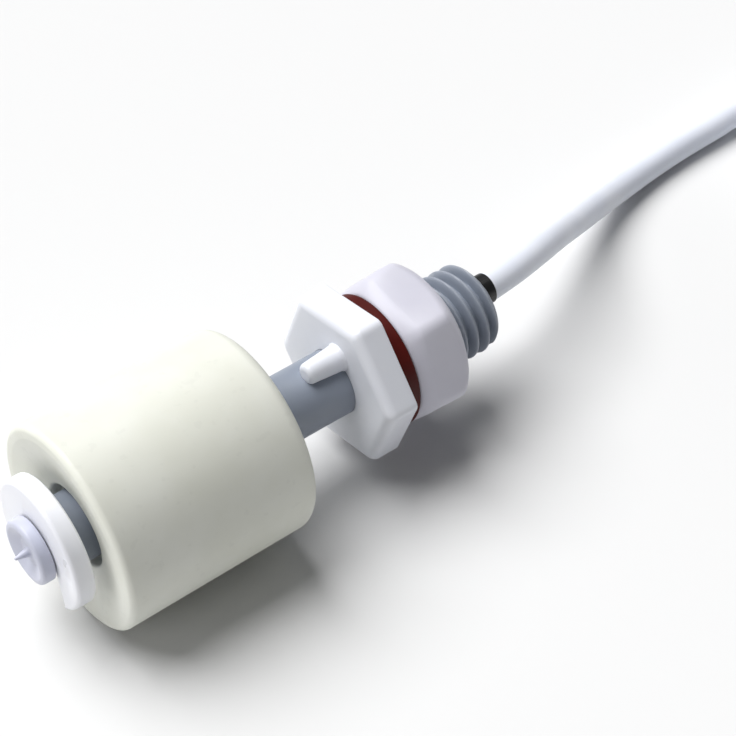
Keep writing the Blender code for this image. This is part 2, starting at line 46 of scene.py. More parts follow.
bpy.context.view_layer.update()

# ---------------------------------------------------------------- dimensions
MM = 0.001
SHIFT_X = -0.45                 # the drawing's x to the frame's x
AXIS_Z = 11.25
FLOAT_RADIUS = 11.25
FLOAT_X = (-23.6, -1.4)
FLOAT_BORE = 4.15
FLOAT_MOUTH = 4.5
FLOAT_DISH = 1.0                # depth of the dished face at the mouth
FLOAT_RIM = 9.9                 # inner radius of the rim and of the outer wall
FLOAT_TUBE = FLOAT_BORE + 1.0   # outer radius of the guide tube inside
STEM_RADIUS = 3.65
GROOVE_RADIUS = 2.6
GROOVE_PLAY = 0.12              # beside the clip
BUTTON_RADIUS = 3.5
BORE_RADIUS = 2.2
BORE_MOUTH = 2.5
CLIP_X = (-26.85, -24.75)
CLIP_RADIUS = 7.05
CLIP_SLOT = 5.2
CLIP_SLOT_ANGLE = 261.0         # the direction of the clip's mouth
CLIP_END_ROUNDING = 0.45
CLIP_ARC_STEPS = 96
DIMPLE_DISTANCE = 5.55          # ejector mark, from the stem's axis
DIMPLE_ANGLE = 175.0
FLANGE_X = (8.85, 12.45)
FLANGE_FLATS = 16.7
FLANGE_ROLL = 50.0
RIB_ANGLES = (101.0, 281.0)
RIB_DISTANCE = 4.25             # rib axis from the stem's axis
RIB_LENGTH = 4.3
THREAD_ROOT = 3.85
THREAD_CREST = 5.0
THREAD_PITCH = 1.5
THREAD_X = (12.7, 27.6)
THREAD_CLEARANCE = 0.25
LEAD_IN_RADIUS = 4.45           # the thread tapers towards its end
LEAD_IN_SLOPE = 0.75
GASKET_X = (12.7, 14.2)
GASKET_GROWTH = 0.2             # closes most of the gaps at both faces
GASKET_RADIUS = 7.6
GASKET_SAG = (0.0, -0.15)       # the loose ring hangs on the thread
NUT_X = (14.45, 20.85)
NUT_FLATS = 15.7
NUT_ROLL = 68.0
NUT_FACE_RADIUS = 7.5
NUT_CHAMFER = 1.35
NUT_ROUNDING = 0.9
NUT_GASKET_SIDE_ROUNDING = 1.9  # where the chamfer meets the flats
EXIT_OFFSET = (0.55, 0.56)
EXIT_X = (26.2, 30.15)
CABLE_RADIUS = 1.7
CORE_RADIUS = 0.48
STRANDS_RADIUS = 0.27
COIL_CENTRE = (98.0, -5.5)
TAU = math.tau


# ---------------------------------------------------------------- mesh helpers
def place(x, y, z):
    """Drawing millimetres to a point of the frame in metres."""
    return Vector(((x + SHIFT_X) * MM, y * MM, z * MM))


def about(x, radius, angle, offset=(0.0, 0.0)):
    """A point at a radius and angle about the stem's axis."""
    return place(x, offset[0] + radius * math.cos(angle), AXIS_Z + offset[1] + radius * math.sin(angle))


def rounded_path(points, steps=6):
    """A polyline with its corners turned into arcs: each point is (x, r) or (x, r, corner radius)."""
    closed = points[0][:2] == points[-1][:2]
    points = points[:-1] if closed else points
    out = []
    for i, point in enumerate(points):
        here = Vector(point[:2])
        size = point[2] if len(point) > 2 else 0.0
        if size <= 0.0 or (not closed and i in (0, len(points) - 1)):
            out.append(here)
            continue
        before = Vector(points[i - 1][:2])
        after = Vector(points[(i + 1) % len(points)][:2])
        a, b = (before - here).normalized(), (after - here).normalized()
        half = a.angle(b) / 2
        back = min(size / math.tan(half), 0.49 * (before - here).length, 0.49 * (after - here).length)
        size = back * math.tan(half)
        centre = here + (a + b).normalized() * (size / math.sin(half))
        start, end = here + a * back - centre, here + b * back - centre
        turn = start.angle_signed(end)
        tight = 0.04 if back > 0.04 else 0.0
        if tight and back + tight < 0.49 * (before - here).length:
            out.append(here + a * (back + tight))
        for k in range(steps + 1):
            angle = -turn * k / steps
            c, s = math.cos(angle), math.sin(angle)
            out.append(centre + Vector((start.x * c - start.y * s, start.x * s + start.y * c)))
        if tight and back + tight < 0.49 * (after - here).length:
            out.append(here + b * (back + tight))
    if closed:
        out.append(out[0])
    return out


def new_piece(name, bm, mat, body, smooth_degrees=35.0):
    """Finish a mesh, give it its material and let it ride on its body."""
    bmesh.ops.recalc_face_normals(bm, faces=bm.faces)
    mesh = bpy.data.meshes.new(name)
    bm.to_mesh(mesh)
    bm.free()
    obj = bpy.data.objects.new(name, mesh)
    bpy.context.scene.collection.objects.link(obj)
    mesh.materials.append(mat)
    mesh.polygons.foreach_set("use_smooth", [True] * len(mesh.polygons))
    mesh.set_sharp_from_angle(angle=math.radians(smooth_degrees))
    if body:
        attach(obj, body)
    return obj


def skin_rows(bm, rows, loop=False):
    """Quads between rows of points. A row of one point is a pole; loop joins the last row to the first."""
    rings = [[bm.verts.new(p) for p in row] for row in rows]
    pairs = list(zip(rings, rings[1:]))
    if loop:
        pairs.append((rings[-1], rings[0]))
    for a, b in pairs:
        count = max(len(a), len(b))
        for j in range(count):
            k = (j + 1) % count
            if len(a) == 1:
                bm.faces.new((a[0], b[k], b[j]))
            elif len(b) == 1:
                bm.faces.new((a[j], a[k], b[0]))
            else:
                bm.faces.new((a[j], a[k], b[k], b[j]))


def turned_rows(profile, segments, offset=(0.0, 0.0)):
    """Rings of points for a profile of (x, radius) pairs about the stem's axis."""
    rows = []
    for x, radius in profile:
        count = 1 if radius < 1e-6 else segments
        rows.append([about(x, radius, TAU * j / segments, offset) for j in range(count)])
    return rows


def turned(name, profile, mat, body, segments, offset):
    """A closed turned ring: the profile's last point is its first."""
    bm = bmesh.new()
    rows = turned_rows(rounded_path(profile)[:-1], segments, offset)
    skin_rows(bm, rows, loop=True)
    return new_piece(name, bm, mat, body)


def smooth_min(a, b, k):
    """The smaller of two lengths, blended over k where they are nearly equal."""
    h = max(k - abs(a - b), 0.0) / k
    return min(a, b) - h * h * k * 0.25


def hexagon_radius(angle, apothem, roll, k):
    """Distance to the side of a hexagon with softened corners, in the direction of angle."""
    sixth = math.radians(60.0)
    phase = (angle - math.radians(roll)) % sixth
    a = apothem / math.cos(phase - sixth / 2)
    others = [apothem / max(math.cos(away), 1e-3) for away in (phase - 1.5 * sixth, phase + sixth / 2)]
    return smooth_min(a, min(others), k)


def smooth_curve(points, per_span=8):
    """Points of a Catmull-Rom curve through the given points."""
    points = [Vector(p) for p in points]
    ends = [points[0] * 2 - points[1]] + points + [points[-1] * 2 - points[-2]]
    out = []
    for a, b, c, d in zip(ends, ends[1:], ends[2:], ends[3:]):
        for i in range(per_span):
            t = i / per_span
            out.append(0.5 * (2 * b + (c - a) * t + (2 * a - 5 * b + 4 * c - d) * t * t
                              + (3 * b - a - 3 * c + d) * t ** 3))
    return out + [points[-1]]


def evenly(points, count):
    """Resample a polyline at equal steps."""
    lengths = [0.0]
    for a, b in zip(points, points[1:]):
        lengths.append(lengths[-1] + (b - a).length)
    out, j = [], 0
    for i in range(count):
        want = lengths[-1] * i / (count - 1)
        while j < len(points) - 2 and lengths[j + 1] < want:
            j += 1
        t = (want - lengths[j]) / max(lengths[j + 1] - lengths[j], 1e-9)
        out.append(points[j].lerp(points[j + 1], min(max(t, 0.0), 1.0)))
    return out, lengths[-1]


def tube(name, points, radius, mat, body, sides, edge, wobble=None):
    """A closed round tube along points (millimetres), with softly rounded ends."""
    points = [Vector(p) for p in points]
    n = len(points)
    along = [(points[min(i + 1, n - 1)] - points[max(i - 1, 0)]).normalized() for i in range(n)]
    side = along[0].orthogonal().normalized()
    rows = []
    travelled = 0.0
    for i, (p, t) in enumerate(zip(points, along)):
        side = (side - t * side.dot(t)).normalized()
        up = t.cross(side)
        if i:
            travelled += (p - points[i - 1]).length
        def ring(scale, back):
            row = []
            for j in range(sides):
                a = TAU * j / sides
                r = radius * scale + (wobble(travelled, a) if wobble else 0.0)
                q = p + t * back + (side * math.cos(a) + up * math.sin(a)) * r
                row.append(place(*q))
            return row
        if i == 0:
            rows.append([place(*p)])
            for k in range(4):
                a = math.radians(30.0 * k)
                rows.append(ring(1 - edge / radius * (1 - math.sin(a)), edge * (1 - math.cos(a))))
        elif i == n - 1:
            for k in range(4):
                a = math.radians(30.0 * k)
                rows.append(ring(1 - edge / radius * (1 - math.cos(a)), -edge * (1 - math.sin(a))))
            rows.append([place(*p)])
        else:
            rows.append(ring(1.0, 0.0))
    bm = bmesh.new()
    skin_rows(bm, rows)
    return new_piece(name, bm, mat, body, 50.0)


def boolean_cut(obj, cutter_bm, operation="DIFFERENCE"):
    """Apply a boolean with a temporary cutter."""
    mesh = bpy.data.meshes.new("cutter")
    bmesh.ops.recalc_face_normals(cutter_bm, faces=cutter_bm.faces)
    cutter_bm.to_mesh(mesh)
    cutter_bm.free()
    cutter = bpy.data.objects.new("cutter", mesh)
    bpy.context.scene.collection.objects.link(cutter)
    modifier = obj.modifiers.new("cut", "BOOLEAN")
    modifier.operation = operation
    modifier.solver = "EXACT"
    modifier.object = cutter
    apply_modifiers(obj)
    bpy.data.objects.remove(cutter, do_unlink=True)
    bpy.data.meshes.remove(mesh)


def apply_modifiers(obj):
    """Replace an object's mesh with the one its modifiers make."""
    graph = bpy.context.evaluated_depsgraph_get()
    mesh = bpy.data.meshes.new_from_object(obj.evaluated_get(graph))
    old = obj.data
    obj.modifiers.clear()
    obj.data = mesh
    bpy.data.meshes.remove(old)


# ---------------------------------------------------------------- materials
GRAIN_HEIGHT = 0.00003          # metres, as are the two below
WAVE_HEIGHT = 0.0006
SCATTER_DEPTH = 0.0012
# near-white painted on convex edges and crests as a highlight
EDGE_HIGHLIGHT_COLOUR = (0.95, 0.95, 0.95, 1.0)


def srgb(r, g, b):
    """An 8-bit screen colour as linear numbers."""
    out = []
    for c in (r, g, b):
        c /= 255.0
        out.append(c / 12.92 if c <= 0.04045 else ((c + 0.055) / 1.055) ** 2.4)
    return (*out, 1.0)


def plastic(name, colour, second, roughness=0.4, spread=0.1, grain=0.02, grain_scale=9000.0,
            speck=0.0, subsurface=0.0, wave=0.0, specular=0.5, edge=0.0, metallic=0.0):
    """Mottled colour, uneven gloss and fine grain, with specks, soft waves or painted highlights on convex
    edges if asked.
    """
    mat = bpy.data.materials.new(name)
    mat.use_nodes = True
    nodes, links = mat.node_tree.nodes, mat.node_tree.links
    bsdf = nodes["Principled BSDF"]
    coords = nodes.new("ShaderNodeTexCoord").outputs["Object"]

    def noise(scale, detail=2.0, rough=0.5):
        node = nodes.new("ShaderNodeTexNoise")
        node.inputs["Scale"].default_value = scale
        node.inputs["Detail"].default_value = detail
        node.inputs["Roughness"].default_value = rough
        links.new(coords, node.inputs["Vector"])
        return node.outputs["Fac"]

    def remap(value, low, high, to_low, to_high):
        node = nodes.new("ShaderNodeMapRange")
        for i, number in enumerate((low, high, to_low, to_high), 1):
            node.inputs[i].default_value = number
        links.new(value, node.inputs[0])
        return node.outputs[0]

    def mix(factor, a, b):
        node = nodes.new("ShaderNodeMix")
        node.data_type = "RGBA"
        for socket, value in ((node.inputs[0], factor), (node.inputs[6], a), (node.inputs[7], b)):
            if isinstance(value, bpy.types.NodeSocket):
                links.new(value, socket)
            else:
                socket.default_value = value
        return node.outputs[2]

    def bump(height, strength, distance, normal=None):
        node = nodes.new("ShaderNodeBump")
        node.inputs["Strength"].default_value = strength
        node.inputs["Distance"].default_value = distance
        links.new(height, node.inputs["Height"])
        if normal:
            links.new(normal, node.inputs["Normal"])
        return node.outputs["Normal"]

    broad = noise(140.0, 3.0)
    fine = noise(grain_scale, 4.0, 0.6)
    base = mix(remap(broad, 0.35, 0.65, 0.0, 1.0), colour, second)
    if speck:
        dots = remap(noise(grain_scale * 0.35, 1.0), 0.66, 0.72, 0.0, speck)
        base = mix(dots, base, tuple(c * 0.35 for c in colour[:3]) + (1.0,))
    # painted highlight: convex edges and thread crests are lightened towards near-white
    if edge:
        geometry = nodes.new("ShaderNodeNewGeometry")
        edge_highlight = remap(geometry.outputs["Pointiness"], 0.505, 0.56, 0.0, edge)
        base = mix(edge_highlight, base, EDGE_HIGHLIGHT_COLOUR)
    links.new(base, bsdf.inputs["Base Color"])
    links.new(remap(noise(330.0, 2.0), 0.25, 0.75, max(roughness - spread, 0.03), roughness + spread),
              bsdf.inputs["Roughness"])
    normal = bump(fine, grain, GRAIN_HEIGHT)
    if wave:
        normal = bump(noise(180.0, 0.0), wave, WAVE_HEIGHT, normal)
    links.new(normal, bsdf.inputs["Normal"])
    bsdf.inputs["Specular IOR Level"].default_value = specular
    bsdf.inputs["Metallic"].default_value = metallic
    if subsurface:
        bsdf.inputs["Subsurface Weight"].default_value = subsurface
        bsdf.inputs["Subsurface Radius"].default_value = (1.0, 0.95, 0.9)
        bsdf.inputs["Subsurface Scale"].default_value = SCATTER_DEPTH
    return mat


STEM_GREY = plastic("stem_grey_plastic", srgb(143, 150, 163), srgb(135, 143, 157), 0.42, 0.05,
                    grain=0.1, grain_scale=5200.0, wave=0.03, edge=0.12)
BUTTON_LILAC = plastic("button_lilac_plastic", srgb(198, 200, 215), srgb(190, 193, 209), 0.36, 0.07,
                       grain=0.05, grain_scale=6000.0, wave=0.03, subsurface=0.1)
WHITE = plastic("white_plastic", srgb(234, 236, 243), srgb(229, 231, 239), 0.36, 0.03,
                grain=0.05, grain_scale=5000.0, wave=0.03, subsurface=0.12)
CLIP_WHITE = plastic("clip_white_plastic", srgb(240, 241, 246), srgb(235, 236, 243), 0.3, 0.03,
                     grain=0.05, grain_scale=5000.0, wave=0.03, subsurface=0.12)
NUT_LILAC = plastic("nut_lilac_plastic", srgb(211, 210, 221), srgb(205, 204, 216), 0.46, 0.04,
                    grain=0.06, grain_scale=5000.0, wave=0.03, subsurface=0.1)
CREAM = plastic("float_cream_plastic", srgb(230, 231, 222), srgb(224, 225, 214), 0.5, 0.08,
                grain=0.16, grain_scale=2600.0, speck=0.05, wave=0.02, subsurface=0.1)
RED = plastic("gasket_red_rubber", srgb(88, 17, 9), srgb(72, 11, 6), 0.55, 0.1,
              grain=0.2, grain_scale=4200.0, speck=0.2, specular=0.2)
BLACK = plastic("black_sleeve_rubber", srgb(13, 13, 15), srgb(9, 9, 11), 0.42, 0.1,
                grain=0.2, grain_scale=4200.0, edge=0.05)
JACKET = plastic("cable_jacket", srgb(236, 239, 248), srgb(228, 232, 243), 0.36, 0.08,
                 grain=0.08, grain_scale=3600.0, wave=0.06, subsurface=0.12)
CORE_RED = plastic("core_red_insulation", srgb(176, 30, 28), srgb(160, 22, 22), 0.35, 0.08, grain=0.08)
CORE_BLACK = plastic("core_black_insulation", srgb(26, 26, 28), srgb(20, 20, 22), 0.35, 0.08, grain=0.08)
POTTING = plastic("potting_resin", srgb(46, 42, 38), srgb(38, 34, 31), 0.2, 0.08, wave=0.3)
FERRITE = plastic("ferrite", srgb(72, 72, 76), srgb(60, 60, 64), 0.6, 0.1, grain=0.4, speck=0.3)
REED_METAL = plastic("reed_metal", srgb(206, 196, 176), srgb(194, 184, 164), 0.28, 0.08, metallic=1.0)
TINNED = plastic("tinned_copper", srgb(208, 206, 200), srgb(190, 186, 176), 0.3, 0.12, grain=0.3,
                 grain_scale=4000.0, metallic=1.0)


def glass_material():
    """Greenish sealed glass with faint draw lines."""
    mat = plastic("reed_glass", srgb(176, 214, 190), srgb(160, 204, 178), 0.06, 0.03, wave=0.15)
    bsdf = mat.node_tree.nodes["Principled BSDF"]
    bsdf.inputs["Transmission Weight"].default_value = 0.9
    bsdf.inputs["IOR"].default_value = 1.5
    return mat


GLASS = glass_material()


# ---------------------------------------------------------------- camera
CAMERA_LOCATION = (-0.07885, -0.11601, 0.15858)
CAMERA_AZIMUTH = -38.352
CAMERA_ELEVATION = 45.05        # above the horizontal
CAMERA_LENS = 97.83             # millimetres, on a sensor 36 wide


def aim_camera():
    """The camera stands high on the clip side and looks along the stem."""
    data = bpy.data.cameras.new("camera")
    data.sensor_width = 36.0
    data.lens = CAMERA_LENS
    data.clip_start = 0.01
    camera = bpy.data.objects.new("camera", data)
    bpy.context.scene.collection.objects.link(camera)
    camera.location = CAMERA_LOCATION
    camera.rotation_euler = (math.radians(90.0 - CAMERA_ELEVATION), 0.0, math.radians(CAMERA_AZIMUTH))
    bpy.context.scene.camera = camera


aim_camera()

# ---------------------------------------------------------------- cable
CABLE_ROUTE = (
    (29.5, 0.55, 11.81), (34.0, 1.0, 11.8), (38.5, 2.15, 11.15), (43.5, 4.15, 9.5),
    (49.0, 6.7, 6.9), (55.0, 9.35, 4.3), (61.0, 11.4, 2.55), (67.0, 12.65, 1.85),
    (73.0, 13.25, 1.75), (80.0, 13.45, 1.85), (85.9, 13.5, 2.35),
)
COIL_HEIGHT = 2.5               # of the cable's middle line in the coil
COIL_START_RADIUS = 19.05
COIL_START = 90.0
COIL_TURNS = 2.11
TURN_STEPS = ((0.8, 0.97, 3.4), (1.8, 2.0, 3.0))   # from turn, to turn, move inwards


def smooth_step(t):
    t = min(max(t, 0.0), 1.0)
    return t * t * (3.0 - 2.0 * t)


def on_coil(radius, degrees, z):
    """A point of the coil's plan, by radius and by angle from +x towards +y."""
    angle = math.radians(degrees)
    return Vector((COIL_CENTRE[0] + radius * math.cos(angle),
                   COIL_CENTRE[1] + radius * math.sin(angle), z))


def coil_points():
    """Turns lying side by side, wound clockwise; each one moves inwards near its end."""
    out = []
    count = 150
    for i in range(1, count + 1):
        turns = COIL_TURNS * i / count
        radius = COIL_START_RADIUS
        for start, end, inwards in TURN_STEPS:
            radius -= inwards * smooth_step((turns - start) / (end - start))
        out.append(on_coil(radius, COIL_START - 360.0 * turns, COIL_HEIGHT))
    return out


def make_cable():
    """White jacket from the stem to the stripped end. Returns it and its length in metres."""
    lead = [Vector(p) for p in CABLE_ROUTE] + [on_coil(COIL_START_RADIUS, COIL_START, COIL_HEIGHT)]
    points, length = evenly(smooth_curve(lead) + coil_points(), 180)
    data = bpy.data.curves.new("cable_jacket", "CURVE")
    data.dimensions = "3D"
    spline = data.splines.new("POLY")
    spline.points.add(len(points) - 1)
    for target, p in zip(spline.points, points):
        target.co = (*place(*p), 1.0)
    data.bevel_depth = CABLE_RADIUS * MM
    data.bevel_resolution = 10
    data.use_fill_caps = True
    data.materials.append(JACKET)
    obj = bpy.data.objects.new("cable_jacket", data)
    bpy.context.scene.collection.objects.link(obj)
    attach(obj, "stem")
    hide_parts("cable", "cable_coil")
    return obj, length * MM


def make_bare_ends():
    """Stripped end: two insulated cores with twisted, tinned tips."""
    routes = {
        "red": ((12.85, 50.0, 2.5), (13.3, 44.0, 2.45), (12.5, 33.0, 1.6), (11.2, 15.0, 0.8),
                (9.6, -8.0, 0.6), (8.0, -36.0, 0.6), (7.2, -66.0, 0.6)),
        "black": ((12.45, 51.0, 2.5), (12.0, 45.0, 2.45), (10.6, 32.0, 1.6), (8.6, 10.0, 0.8),
                  (6.3, -20.0, 0.6), (4.6, -62.0, 0.6), (4.4, -105.0, 0.6)),
    }
    made = []
    for name, mat in (("red", CORE_RED), ("black", CORE_BLACK)):
        line = smooth_curve([on_coil(*p) for p in routes[name]])
        core = tube("core_%s_insulation" % name, line, CORE_RADIUS, mat, "stem", sides=20, edge=0.08)
        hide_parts("core_end_" + name)
        along = (line[-1] - line[-2]).normalized()
        tip = [line[-1] + along * (-0.4 + 0.1 * i) for i in range(47)]
        strands = tube("tinned_strands_" + name, tip, STRANDS_RADIUS, TINNED, "stem", sides=28, edge=0.06,
                       wobble=lambda s, a: 0.03 * abs(math.cos(3.5 * a + 3.2 * s)))
        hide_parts("tinned_end_" + name)
        made += [core, strands]
    return made


def make_tie():
    """Black strap closed round the turns, with rounded edges."""
    low_r, high_r = 13.7, 21.0
    bottom, top = 0.55, 4.45
    thick, width = 0.45, 2.5
    rounding = 1.55
    corners = ((-1, -1), (1, -1), (1, 1), (-1, 1))
    mid = Vector(((low_r + high_r) / 2, (bottom + top) / 2))
    half = Vector(((high_r - low_r) / 2, (top - bottom) / 2))

    def outline(grow):
        """The strap's loop, grown outwards."""
        out = []
        radius = rounding + grow
        for i, (sx, sy) in enumerate(corners):
            centre = Vector((mid.x + sx * (half.x - rounding), mid.y + sy * (half.y - rounding)))
            for k in range(9):
                a = math.radians(180.0 + 90.0 * i + 90.0 * k / 8)
                out.append(centre + Vector((math.cos(a), math.sin(a))) * radius)
        return out

    section = rounded_path([(-width / 2, 0.0, 0.12), (width / 2, 0.0, 0.12), (width / 2, thick, 0.2),
                            (-width / 2, thick, 0.2), (-width / 2, 0.0, 0.12)], 4)
    rows = [[place(COIL_CENTRE[0] - p.x, COIL_CENTRE[1] + across, p.y) for p in outline(grow)]
            for across, grow in section[:-1]]
    bm = bmesh.new()
    skin_rows(bm, rows, loop=True)
    tie = new_piece("coil_strap", bm, BLACK, "stem", 40.0)
    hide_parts("coil_tie")
    return tie


cable, cable_length = make_cable()
bare_ends = make_bare_ends()
tie = make_tie()


# ---------------------------------------------------------------- stem
def thread_height(x, angle):
    """0 at the root and 1 on the rounded crest of a right-hand thread."""
    turn = (x - THREAD_X[0]) / THREAD_PITCH - angle / TAU + 0.25
    phase = abs(2.0 * (turn % 1.0) - 1.0)             # 0 on a crest, 1 in a valley
    lobe = math.sqrt(max(0.0, 1.0 - (phase / 0.64) ** 2))
    return 0.6 * lobe + 0.4 * smooth_step((0.68 - phase) / 0.6)


def make_stem():
    """Grey stem: dished button, clip groove, guide, rounded thread and blind bore."""
    x0, x1 = CLIP_X[0] - GROOVE_PLAY, CLIP_X[1] + GROOVE_PLAY
    segments = 144
    head = rounded_path([(-29.45, 0.0), (-29.38, 0.16), (-27.85, 0.5, 0.3), (-27.8, 1.5, 0.5),
                         (-28.2, 2.35, 0.5), (-28.42, 2.9, 0.4), (-28.3, BUTTON_RADIUS, 0.75),
                         (x0, BUTTON_RADIUS, 0.12), (x0, GROOVE_RADIUS, 0.1), (x1, GROOVE_RADIUS, 0.1),
                         (x1, STEM_RADIUS - 0.3), (x1 + 0.25, STEM_RADIUS, 0.2), (12.4, STEM_RADIUS)])
    bm = bmesh.new()
    rows = turned_rows(head, segments)
    low, high = THREAD_X
    count = 190
    for i in range(count + 1):
        x = low + (high - low) * i / count
        row = []
        for j in range(segments):
            angle = TAU * j / segments
            height = thread_height(x, angle) * smooth_step((high - x) / 0.2)
            radius = THREAD_ROOT + (THREAD_CREST - THREAD_ROOT) * height
            row.append(about(x, min(radius, LEAD_IN_RADIUS + LEAD_IN_SLOPE * (high - x)), angle))
        rows.append(row)
    inner = rounded_path([(high, 4.1), (high + 0.02, 3.9), (high + 0.02, 2.6, 0.15),
                          (high - 0.3, BORE_MOUTH, 0.1), (16.0, BORE_MOUTH), (15.6, BORE_RADIUS),
                          (-22.2, BORE_RADIUS), (-22.8, 1.6), (-22.8, 0.0)], 4)
    rows += turned_rows(inner[1:], segments)
    skin_rows(bm, rows)
    stem = new_piece("threaded_stem", bm, STEM_GREY, "stem", 32.0)
    stem.data.materials.append(BUTTON_LILAC)          # on the button's outer faces only
    for face in stem.data.polygons:
        centre = face.center / MM
        outer = math.hypot(centre.y, centre.z - AXIS_Z) > GROOVE_RADIUS or centre.x < CLIP_X[0] - 1.0
        face.material_index = int(outer and centre.x < SHIFT_X + CLIP_X[0] - 0.1)
    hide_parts("stem_body")


# ---------------------------------------------------------------- flange, gasket, nut
def hexagon_rows(profile, apothem, roll, k, segments):
    """Rows of a hexagonal bar; each profile point is (x, how far inside the flats)."""
    rows = []
    for x, inside in profile:
        row = []
        for j in range(segments):
            angle = TAU * j / segments
            row.append(about(x, hexagon_radius(angle, apothem - inside, roll, k), angle))
        rows.append(row)
    return rows


def make_flange():
    """White hexagonal shoulder: soft on the float side, crisp on the gasket side, with two ribs."""
    low, high = FLANGE_X
    apothem = FLANGE_FLATS / 2
    segments = 240
    side = rounded_path([(low, 3.4), (low, 0.0, 1.1), (high, 0.0, 0.16), (high, 3.4)], 8)
    rows = hexagon_rows(side, apothem, FLANGE_ROLL, 0.55, segments)
    bore = STEM_RADIUS + 0.03
    rows += turned_rows([(high, bore), (low, bore)], segments)
    bm = bmesh.new()
    skin_rows(bm, rows, loop=True)
    flange = new_piece("hex_shoulder", bm, WHITE, "stem", 30.0)
    for degrees in RIB_ANGLES:
        direction = math.radians(degrees)
        offset = (RIB_DISTANCE * math.cos(direction), RIB_DISTANCE * math.sin(direction))
        rib = rounded_path([(low - RIB_LENGTH, 0.0), (low - RIB_LENGTH, 1.12, 1.08),
                            (low - 0.35, 1.45, 0.4), (low + 0.3, 1.75), (low + 0.3, 0.0)], 9)
        rib_bm = bmesh.new()
        skin_rows(rib_bm, turned_rows(rib, 64, offset))
        boolean_cut(flange, rib_bm, "UNION")
    drill = bmesh.new()
    skin_rows(drill, turned_rows([(low - 6.0, 0.0), (low - 6.0, bore), (high + 1.0, bore),
                                  (high + 1.0, 0.0)], 144))
    boolean_cut(flange, drill)
    flange.data.set_sharp_from_angle(angle=math.radians(30.0))
    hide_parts("hex_flange")


def make_gasket():
    """Red ring that nearly touches the shoulder and the nut."""
    low, high = GASKET_X[0] - GASKET_GROWTH, GASKET_X[1] + GASKET_GROWTH
    inner = THREAD_CREST + 0.22
    profile = [(low, inner, 0.1), (low, GASKET_RADIUS, 0.28), (high, GASKET_RADIUS, 0.28),
               (high, inner, 0.1), (low, inner, 0.1)]
    gasket = turned("silicone_gasket", profile, RED, "gasket_carrier", 192, GASKET_SAG)
    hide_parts("gasket")


def make_nut():
    """Hexagonal nut with conical chamfers at both ends and an internal thread."""
    low, high = NUT_X
    apothem = NUT_FLATS / 2
    segments = 288
    corner = NUT_FLATS / math.sqrt(3.0)
    rows = []
    stations = [0.0, 0.03, 0.08] + [0.15 + 0.125 * i for i in range(13)]
    length = high - low
    xs = stations + [length / 2] + [length - s for s in reversed(stations)]
    for s in xs:
        near = min(s, length - s)
        cone = NUT_FACE_RADIUS + (corner - NUT_FACE_RADIUS) * near / NUT_CHAMFER
        cone -= 0.16 * max(0.0, 1.0 - near / 0.15) ** 2
        rounding = NUT_GASKET_SIDE_ROUNDING if s < length / 2 else NUT_ROUNDING
        row = []
        for j in range(segments):
            angle = TAU * j / segments
            radius = smooth_min(hexagon_radius(angle, apothem, NUT_ROLL, NUT_ROUNDING), cone, rounding)
            row.append(about(low + s, radius, angle))
        rows.append(row)
    crest, root = THREAD_CREST + THREAD_CLEARANCE, THREAD_ROOT + THREAD_CLEARANCE
    rows += turned_rows([(high, crest + 0.35)], segments)
    count = 84
    for i in range(count + 1):
        x = high - 0.02 - (length - 0.04) * i / count
        mouth = min(high - x, x - low)
        row = []
        for j in range(segments):
            angle = TAU * j / segments
            radius = root + (crest - root) * thread_height(x, angle)
            row.append(about(x, max(radius, crest + 0.3 - mouth), angle))
        rows.append(row)
    rows += turned_rows([(low, crest + 0.35)], segments)
    bm = bmesh.new()
    skin_rows(bm, rows, loop=True)
    nut = new_piece("hex_lock_nut", bm, NUT_LILAC, "nut", 30.0)
    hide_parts("hex_nut")


# ---------------------------------------------------------------- clip
def clip_outline():
    """The clip's C-shaped plan, mouth down, as (across, up): the outer arc, then the inner one back."""
    path = []
    for radius, way in ((CLIP_RADIUS, 1), (GROOVE_RADIUS + 0.06, -1)):
        edge = math.asin(min(CLIP_SLOT / 2 / radius, 0.98))
        for i in range(CLIP_ARC_STEPS + 1):
            a = -math.pi / 2 + way * (edge + (TAU - 2 * edge) * i / CLIP_ARC_STEPS)
            path.append(Vector((radius * math.cos(a), radius * math.sin(a))))
    return path


